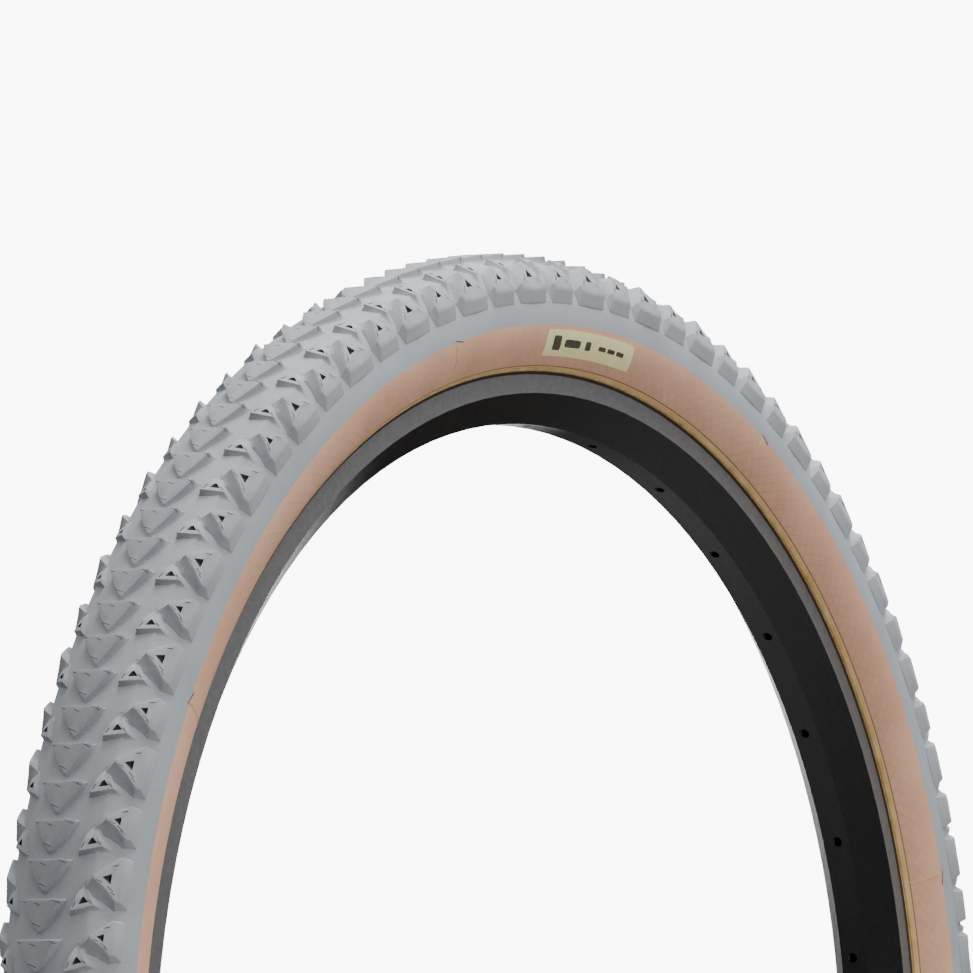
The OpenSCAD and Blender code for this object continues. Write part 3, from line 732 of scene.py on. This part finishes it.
def label_patch(angle, length, low_r, high_r, lift, rounding=0.0):
    """A thin closed patch on the front side wall."""
    low = math.asin((low_r - SECTION_Z) / HALF_W)
    high = math.asin((high_r - SECTION_Z) / HALF_W)
    cols, rows = 24, 8
    grid = []
    for i in range(cols + 1):
        for j in range(rows + 1):
            u, v = i / cols * 2 - 1, j / rows * 2 - 1
            pull = 1 - rounding * (abs(u) ** 8) * (abs(v) ** 8)
            grid.append((u * pull * length / 2, low + (high - low) * (v * pull + 1) / 2))
    verts = []
    for height in (lift, -0.3 * MM):
        for x, b in grid:
            y, r = (HALF_W + height) * math.cos(b), SECTION_Z + (HALF_W + height) * math.sin(b)
            verts.append(on_wheel(0, -y, r, angle - x / r))
    n = (cols + 1) * (rows + 1)
    def at(i, j, k):
        return k * n + i * (rows + 1) + j
    faces = []
    for i in range(cols):
        for j in range(rows):
            faces.append((at(i, j, 0), at(i, j + 1, 0), at(i + 1, j + 1, 0), at(i + 1, j, 0)))
            faces.append((at(i, j, 1), at(i + 1, j, 1), at(i + 1, j + 1, 1), at(i, j + 1, 1)))
    for i in range(cols):
        for j, flip in ((0, False), (rows, True)):
            f = (at(i, j, 0), at(i + 1, j, 0), at(i + 1, j, 1), at(i, j, 1))
            faces.append(f[::-1] if flip else f)
    for j in range(rows):
        for i, flip in ((0, True), (cols, False)):
            f = (at(i, j, 0), at(i, j + 1, 0), at(i, j + 1, 1), at(i, j, 1))
            faces.append(f if flip else f[::-1])
    return verts, faces


def build_label():
    """A film patch with plain dark marks: how far along each is, its length and its height."""
    angle = math.radians(88)
    low, high = EDGE_R - 13 * MM, EDGE_R - 2 * MM
    middle = (low + high) / 2
    patch = add_object("label_patch", *label_patch(angle, 67 * MM, low, high, 0.12 * MM, 0.02), LABEL)
    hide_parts("size_label")
    marks = []
    for along_mm, length_mm, tall_mm in ((-25, 6, 6), (-13, 12, 3.2), (-1, 4, 3.6), (10, 5.5, 1.8),
                                         (17, 5.5, 1.8), (24, 5.5, 1.8)):
        where = angle - along_mm * MM / middle
        half = tall_mm * MM / 2
        marks.append(label_patch(where, length_mm * MM, middle - half, middle + half, 0.18 * MM, 0.12))
    add_object("label_marks", *join(marks), INK)


# ---------- valve ----------

def turned(outline, steps, shape=None):
    """A round piece on the valve's axis from a closed outline of (radius, height) points.
    shape(radius, height, turn) gives the radius where the piece isn't round."""
    verts = []
    for i in range(steps):
        turn = 2 * math.pi * i / steps
        for r, h in outline:
            r = shape(r, h, turn) if shape else r
            verts.append(on_wheel(r * math.cos(turn), r * math.sin(turn), h, VALVE_ANGLE))
    n = len(outline)
    faces = []
    for i in range(steps):
        j = (i + 1) % steps
        for k in range(n):
            m = (k + 1) % n
            faces.append((i * n + k, i * n + m, j * n + m, j * n + k))
    return verts, faces


def add_turned(name, outline, steps, material, node, shape=None):
    body = body_of(frame["nodes"][node])[0]
    obj = add_object(name, *turned(outline, steps, shape), material, body=body, smooth=32)
    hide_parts(node)
    return obj


def fluted(count, depth, outside, low, high):
    """A shape with count grooves of one depth on the outside, between two heights."""
    def shape(r, h, turn):
        if r < outside or not low < h < high:
            return r
        return r - depth * abs(math.sin(count * turn / 2)) ** 2
    return shape


def build_stem():
    pitch, depth, rows = 0.8 * MM, 0.28 * MM, 6
    start, end = STEM_END_R + 0.6 * MM, PAD_TOP_R - 1.0 * MM
    count = int((end - start) / pitch * rows)
    thread = [(STEM_RADIUS, start + i * pitch / rows) for i in range(count + 1)]
    head_r, head_top = STEM_RADIUS + 2 * MM, PAD_TOP_R + 1.2 * MM
    air_r, rim = 1.6 * MM, 0.2 * MM
    outline = [(CORE_RADIUS, STEM_END_R), (STEM_RADIUS - 0.35 * MM, STEM_END_R)] + thread + [
        (STEM_RADIUS, PAD_TOP_R), (head_r - rim, PAD_TOP_R), (head_r, PAD_TOP_R + rim),
        (head_r, head_top - rim), (head_r - rim, head_top), (air_r, head_top),
        (air_r, CORE_TOP_R), (CORE_RADIUS, CORE_TOP_R)]
    def shape(r, h, turn):
        if r != STEM_RADIUS or not start < h < end:
            return r
        phase = (h / pitch - turn / (2 * math.pi)) % 1
        return r - depth * abs(2 * phase - 1)
    add_turned("stem", outline, 40, STEM, "valve_stem", shape)


def build_rim_nut():
    top, low, rim = RIM_NUT_TOP_R, RIM_NUT_TOP_R - 4 * MM, 0.3 * MM
    step, wide, narrow = (top + low) / 2, 6 * MM, 5 * MM
    bore = STEM_RADIUS + RUN_GAP
    outline = [(bore, low), (narrow - rim, low), (narrow, low + rim), (narrow, step),
               (wide - rim, step), (wide, step + rim), (wide, top - rim), (wide - rim, top), (bore, top)]
    shape = fluted(36, 0.3 * MM, wide - 0.1 * MM, step, top)
    add_turned("knurled_nut", outline, 144, NUT, "rim_nut", shape)


def build_core():
    flat, rim, bore = 1.75 * MM, 0.25 * MM, PIN_RADIUS + RUN_GAP
    flat_top = STEM_END_R - 0.4 * MM
    outline = [(bore, CORE_END_R), (CORE_RADIUS - rim, CORE_END_R), (CORE_RADIUS, CORE_END_R + rim),
               (CORE_RADIUS, flat_top), (CORE_RADIUS, flat_top + 0.1 * MM),
               (CORE_RADIUS, CORE_TOP_R - rim), (CORE_RADIUS - rim, CORE_TOP_R), (bore, CORE_TOP_R)]
    def shape(r, h, turn):
        side = abs(math.cos(turn))
        return min(r, flat / side) if h <= flat_top and r * side > flat else r
    add_turned("core_barrel", outline, 72, CORE, "valve_core", shape)


def build_pin():
    head_r, head_l, rim = 1.45 * MM, 0.8 * MM, 0.15 * MM
    under = PIN_TOP_R - head_l
    outline = [(0, PIN_END_R), (PIN_RADIUS - rim, PIN_END_R), (PIN_RADIUS, PIN_END_R + rim),
               (PIN_RADIUS, under), (head_r, under), (head_r, PIN_TOP_R - rim),
               (head_r - rim, PIN_TOP_R), (0, PIN_TOP_R)]
    add_turned("pin", outline, 32, CORE, "valve_pin")


def build_lock_nut():
    wide, rim, bore = CORE_RADIUS - 0.2 * MM, 0.2 * MM, PIN_RADIUS + RUN_GAP
    outline = [(bore, LOCK_END_R), (wide - 2 * rim, LOCK_END_R), (wide, LOCK_END_R + 2 * rim),
               (wide, LOCK_TOP_R - rim), (wide - rim, LOCK_TOP_R), (bore, LOCK_TOP_R)]
    shape = fluted(20, 0.15 * MM, wide - 0.05 * MM, LOCK_END_R, LOCK_TOP_R)
    add_turned("knurled_lock_nut", outline, 120, CORE, "lock_nut", shape)


def build_cap():
    grip_r, waist_r, tip_r, inner_r = 4.0 * MM, 3.6 * MM, 2.7 * MM, 2.4 * MM
    bore, rim = STEM_RADIUS + RUN_GAP, 0.25 * MM
    seat, ring_low = STEM_END_R - 0.3 * MM, CAP_MOUTH_R - 1.6 * MM
    rib_low, rib_high = CAP_END_R + 3 * MM, ring_low - 0.4 * MM
    outline = [(0, CAP_END_R), (tip_r - rim, CAP_END_R), (tip_r, CAP_END_R + rim),
               (waist_r - 0.3 * MM, rib_low - 0.3 * MM), (waist_r, rib_low), (waist_r, rib_low + 0.2 * MM),
               (waist_r + 0.2 * MM, rib_high), (waist_r + 0.2 * MM, rib_high + 0.1 * MM),
               (grip_r, ring_low), (grip_r, CAP_MOUTH_R - rim), (grip_r - rim, CAP_MOUTH_R),
               (bore, CAP_MOUTH_R), (bore, seat), (inner_r, seat), (inner_r, CAP_END_R + 1.2 * MM),
               (0, CAP_END_R + 1.2 * MM)]
    shape = fluted(24, 0.28 * MM, waist_r - 0.01 * MM, rib_low, rib_high + 0.05 * MM)
    add_turned("ribbed_cap", outline, 144, CAP, "dust_cap", shape)


def build_bead_cores():
    """Each bead core is six strands laid round each other."""
    strands, turns, ring_steps, points = 6, 84, 1092, 24
    radius = 1.3 * MM
    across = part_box("bead_core_back")[1].y - radius
    from_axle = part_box("bead_core_back")[1].z - radius
    for side, sign in (("front", -1), ("back", 1)):
        verts, faces = [], []
        for i in range(ring_steps):
            round_wheel = 2 * math.pi * i / ring_steps
            lay = turns * round_wheel / strands
            for j in range(points):
                turn = 2 * math.pi * j / points
                r = radius - 0.3 * MM * (1 - abs(math.cos(strands * (turn - lay) / 2)))
                y, z = across + r * math.cos(turn), from_axle + r * math.sin(turn)
                verts.append((z * math.cos(round_wheel), sign * y, z * math.sin(round_wheel)))
        for i in range(ring_steps):
            k = (i + 1) % ring_steps
            for j in range(points):
                m = (j + 1) % points
                face = (i * points + j, k * points + j, k * points + m, i * points + m)
                faces.append(face if sign > 0 else face[::-1])
        obj = add_object("bead_strands_" + side, verts, faces, BEAD, smooth=50)
        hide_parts("bead_core_" + side)


# ---------- finishes of the CAD nodes that are shown as they are ----------

def dress(node, material, degrees=30):
    """Gives a CAD node its finish."""
    obj = frame["nodes"][node]
    obj.data.materials.clear()
    obj.data.materials.append(material)
    shade(obj, degrees)


def dress_nodes():
    for node, material in (
            ("rim", RIM), ("rim_joint_sleeve", SLEEVE), ("rim_tape", TAPE), ("inner_tube", TUBE),
            ("valve_patch", TUBE), ("valve_seal", TUBE), ("casing_ply_inner", CASING),
            ("casing_ply_outer", CASING), ("breaker_belt", BELT)):
        dress(node, material)


# ---------- studio ----------

def area_light(name, place, target, size, power):
    """A square lamp at a place, facing a target."""
    light = bpy.data.lights.new(name, "AREA")
    light.shape = "SQUARE"
    light.size = size
    light.energy = power
    obj = bpy.data.objects.new(name, light)
    bpy.context.scene.collection.objects.link(obj)
    obj.location = place
    obj.rotation_euler = (Vector(target) - Vector(place)).to_track_quat("-Z", "Y").to_euler()


def build_studio():
    """A grey floor, a lit sheet behind, a sky that is bright above and dark below, and two lamps."""
    floor_z = -TREAD_OUT_R - 0.5 * MM
    size = 0.75
    verts = [(-size, -size, floor_z), (size, -size, floor_z), (size, size, floor_z), (-size, size, floor_z)]
    floor_look = plain_material("floor_paper", (0.36, 0.36, 0.36), (0.40, 0.40, 0.40), 0.8, grain=3)
    add_object("floor", verts, [(0, 1, 2, 3)], floor_look, body=None, smooth=0)
    build_backdrop()
    world = bpy.data.worlds.new("studio")
    bpy.context.scene.world = world
    world.use_nodes = True
    tree = world.node_tree
    where = tree.nodes.new("ShaderNodeTexCoord")
    parts = tree.nodes.new("ShaderNodeSeparateXYZ")
    ramp = tree.nodes.new("ShaderNodeValToRGB")
    tree.links.new(where.outputs["Generated"], parts.inputs[0])
    tree.links.new(parts.outputs[2], ramp.inputs["Fac"])
    tree.links.new(ramp.outputs["Color"], tree.nodes["Background"].inputs["Color"])
    below, above = ramp.color_ramp.elements
    below.position, below.color = 0.0, (0.03, 0.03, 0.032, 1)
    above.position, above.color = 0.9, (1.0, 1.0, 1.0, 1)
    middle = ramp.color_ramp.elements.new(0.04)
    middle.color = (0.15, 0.15, 0.157, 1)
    tree.nodes["Background"].inputs["Strength"].default_value = 1.25
    area_light("top", (0.35, -0.4, 2.4), (0, 0, 0.2), 1.5, 72)
    area_light("front", (0.1, -3.0, 1.7), (0, 0, 0.2), 1.4, 46)


def build_backdrop():
    """A lit white sheet behind the wheel, on the line from the camera."""
    look = bpy.data.materials.new("backdrop")
    look.use_nodes = True
    shader = look.node_tree.nodes["Principled BSDF"]
    shader.inputs["Base Color"].default_value = (0.9, 0.9, 0.9, 1)
    shader.inputs["Emission Color"].default_value = (1, 1, 1, 1)
    shader.inputs["Emission Strength"].default_value = 9.0
    centre = CAMERA_AT + VIEW_BACK * -BACKDROP_DISTANCE
    side = Vector((0, 0, 1)).cross(VIEW_BACK).normalized() * 0.75
    up = VIEW_BACK.cross(side).normalized() * 0.75
    verts = [tuple(centre + side * a + up * b) for a, b in ((-1, -1), (1, -1), (1, 1), (-1, 1))]
    add_object("backdrop", verts, [(0, 1, 2, 3)], look, body=None, smooth=0)


def build_camera():
    """A long lens at the photo's angle."""
    data = bpy.data.cameras.new("camera")
    camera = bpy.data.objects.new("camera", data)
    bpy.context.scene.collection.objects.link(camera)
    bpy.context.scene.camera = camera
    camera.location = CAMERA_AT
    camera.rotation_mode = "QUATERNION"
    camera.rotation_quaternion = VIEW_BACK.to_track_quat("Z", "Y")
    data.sensor_width = 36
    data.lens = LENS
    data.clip_start = 0.05
    data.clip_end = 50


build_knobs()
build_tread_base()
build_bead_strips()
build_sidewalls()
build_label()
build_stem()
build_rim_nut()
build_core()
build_pin()
build_lock_nut()
build_cap()
build_bead_cores()
dress_nodes()
build_studio()
build_camera()
